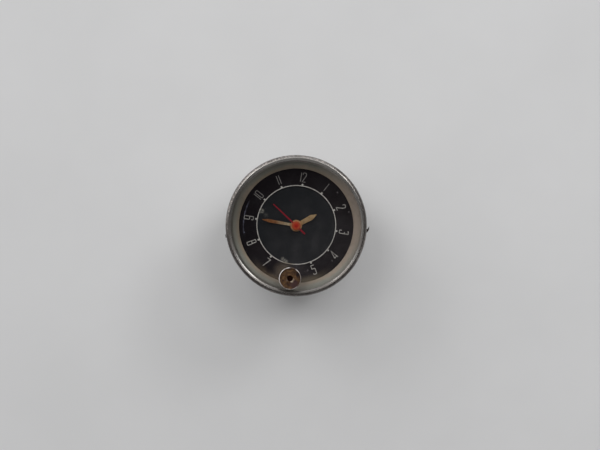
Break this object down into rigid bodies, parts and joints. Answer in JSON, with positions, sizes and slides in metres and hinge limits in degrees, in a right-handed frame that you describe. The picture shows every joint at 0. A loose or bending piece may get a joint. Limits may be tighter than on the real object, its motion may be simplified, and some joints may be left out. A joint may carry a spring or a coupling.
{
  "type": "car dashboard clock",
  "caption": "Round panel clock for a car dashboard: bevelled metal bezel, flat glass, black dial with hands, push-to-set knob, and a rewound balance movement in a drawn can.",
  "frame": {"origin": "on the clock's axis in the plane of the bezel's rear lip, which seats on the panel", "axes": "+Z along the axis out of the dial, +Y to twelve o'clock, +X to three o'clock"},
  "size_m": [0.0609, 0.06, 0.0594],
  "materials": {
    "chrome": "worn, pitted plating",
    "glass": "flat clear glass with a dusty haze",
    "seal": "black seal",
    "grey_ring": "satin grey paint",
    "dial_black": "black lacquer with white print",
    "case_steel": "dull zinc-plated steel",
    "steel": "bright steel",
    "blued_steel": "blued screws and hairspring",
    "brass": "turned and stamped brass",
    "fibre": "red-brown insulating fibre",
    "knob_metal": "rusty cup with a bright worn rim",
    "hand_cream": "aged cream paint, browned at the tip",
    "hand_red": "red paint",
    "iron": "soft iron",
    "copper_wire": "enamelled copper winding",
    "paper": "pressed paper bobbin"
  },
  "bodies": {
    "clock_body": {"bezel": "chrome", "lens": "glass", "lens_gasket": "seal", "spacer_ring": "grey_ring", "dial": "dial_black", "dial_feet": "brass", "case": "case_steel", "mounting_studs": "steel", "stud_sleeves": "steel", "stud_washers": "steel", "stud_nuts": "steel", "terminal_stud": "brass", "terminal_insulator": "fibre", "terminal_inner_washer": "fibre", "terminal_washer": "steel", "terminal_nut": "brass", "front_plate": "brass", "back_plate": "brass", "pillars": "brass", "pillar_screws": "blued_steel", "stem_spring": "steel", "stem_bridge": "brass", "stem_bush": "brass", "setting_wheel_screw": "blued_steel", "minute_wheel_post": "steel", "hairspring": "blued_steel", "hairspring_stud": "steel", "balance_bush": "brass", "pole_pieces": "iron", "magnet_core": "iron", "coil_bobbin": "paper", "coil_winding": "copper_wire", "magnet_posts": "brass", "magnet_screws": "blued_steel", "drive_spring": "steel", "spring_post": "brass", "contact_block": "fibre", "contact_leaf": "brass"},
    "hour_hand": {"hour_hand": "hand_cream", "hour_wheel": "brass"},
    "minute_hand": {"minute_hand": "hand_cream", "cannon_pinion": "brass"},
    "second_hand": {"second_hand": "hand_red", "seconds_wheel": "brass"},
    "minute_wheel": {"minute_wheel": "brass"},
    "setting_wheel": {"setting_wheel": "brass"},
    "setting_slide": {"stem_washer": "steel"},
    "setting_knob": {"setting_knob": "knob_metal", "setting_stem": "steel", "setting_pinion": "brass", "stem_clip": "blued_steel"},
    "center_wheel": {"center_wheel": "brass"},
    "drive_arbor": {"drive_wheel": "brass", "ratchet_wheel": "steel"},
    "escape_wheel": {"escape_wheel": "brass"},
    "pallet_lever": {"pallet_lever": "steel"},
    "balance": {"balance_wheel": "brass"},
    "regulator": {"regulator": "steel"},
    "armature": {"armature": "iron"},
    "pawl": {"pawl": "steel"}
  },
  "joints": [
    {"name": "knob_push", "type": "slide", "parent": "clock_body", "child": "setting_slide", "axis": [0, 0, -1], "range_m": [0, 0.0017], "stiffness_N_per_m": 400, "springref_m": -0.002, "deforming": ["stem_spring"]},
    {"name": "knob_turn", "type": "hinge", "parent": "setting_slide", "child": "setting_knob", "pos_m": [0, -0.0221, 0], "axis": [0, 0, -1], "continuous": true},
    {"name": "setting_wheel_turn", "type": "hinge", "parent": "clock_body", "child": "setting_wheel", "pos_m": [0.00083, -0.01661, 0], "axis": [0, 0, -1], "continuous": true},
    {"name": "minute_wheel_turn", "type": "hinge", "parent": "clock_body", "child": "minute_wheel", "pos_m": [0, -0.0072, 0], "axis": [0, 0, -1], "continuous": true},
    {"name": "minute_hand_turn", "type": "hinge", "parent": "clock_body", "child": "minute_hand", "pos_m": [0, 0, 0], "axis": [0, 0, -1], "continuous": true},
    {"name": "hour_hand_turn", "type": "hinge", "parent": "clock_body", "child": "hour_hand", "pos_m": [0, 0, 0], "axis": [0, 0, -1], "continuous": true},
    {"name": "second_hand_turn", "type": "hinge", "parent": "clock_body", "child": "second_hand", "pos_m": [0, 0, 0], "axis": [0, 0, -1], "continuous": true},
    {"name": "drive_arbor_turn", "type": "hinge", "parent": "clock_body", "child": "drive_arbor", "pos_m": [0, 0.009, 0], "axis": [0, 0, -1], "continuous": true},
    {"name": "center_wheel_turn", "type": "hinge", "parent": "clock_body", "child": "center_wheel", "pos_m": [0, 0, 0], "axis": [0, 0, -1], "continuous": true},
    {"name": "escape_wheel_turn", "type": "hinge", "parent": "clock_body", "child": "escape_wheel", "pos_m": [0.00674, -0.00566, 0], "axis": [0, 0, -1], "continuous": true},
    {"name": "pallet_swing", "type": "hinge", "parent": "clock_body", "child": "pallet_lever", "pos_m": [0.01143, -0.00648, 0], "axis": [0, 0, -1], "range_deg": [-8, 8]},
    {"name": "balance_swing", "type": "hinge", "parent": "clock_body", "child": "balance", "pos_m": [0.01553, 0.00062, 0], "axis": [0, 0, -1], "range_deg": [-220, 220], "stiffness_Nm_per_rad": 0.000006, "deforming": ["hairspring"]},
    {"name": "regulator_turn", "type": "hinge", "parent": "clock_body", "child": "regulator", "pos_m": [0.01553, 0.00062, 0], "axis": [0, 0, -1], "range_deg": [-20, 20]},
    {"name": "armature_swing", "type": "hinge", "parent": "clock_body", "child": "armature", "pos_m": [0, 0.009, 0], "axis": [0, 0, 1], "range_deg": [-45, 0], "stiffness_Nm_per_rad": 0.0002, "springref_deg": 11.46, "deforming": ["drive_spring"]},
    {"name": "pawl_lift", "type": "hinge", "parent": "armature", "child": "pawl", "pos_m": [0.0027, 0.01368, 0], "axis": [0, 0, 1], "range_deg": [0, 10]}
  ],
  "couplings": [
    {"joint": "setting_wheel_turn", "follows": "knob_turn", "ratio": -0.37037},
    {"joint": "minute_wheel_turn", "follows": "knob_turn", "ratio": 0.27778},
    {"joint": "minute_hand_turn", "follows": "knob_turn", "ratio": -0.83333},
    {"joint": "hour_hand_turn", "follows": "knob_turn", "ratio": -0.069444},
    {"joint": "drive_arbor_turn", "follows": "second_hand_turn", "ratio": -0.13333},
    {"joint": "center_wheel_turn", "follows": "second_hand_turn", "ratio": 0.016667},
    {"joint": "escape_wheel_turn", "follows": "second_hand_turn", "ratio": -10}
  ]
}
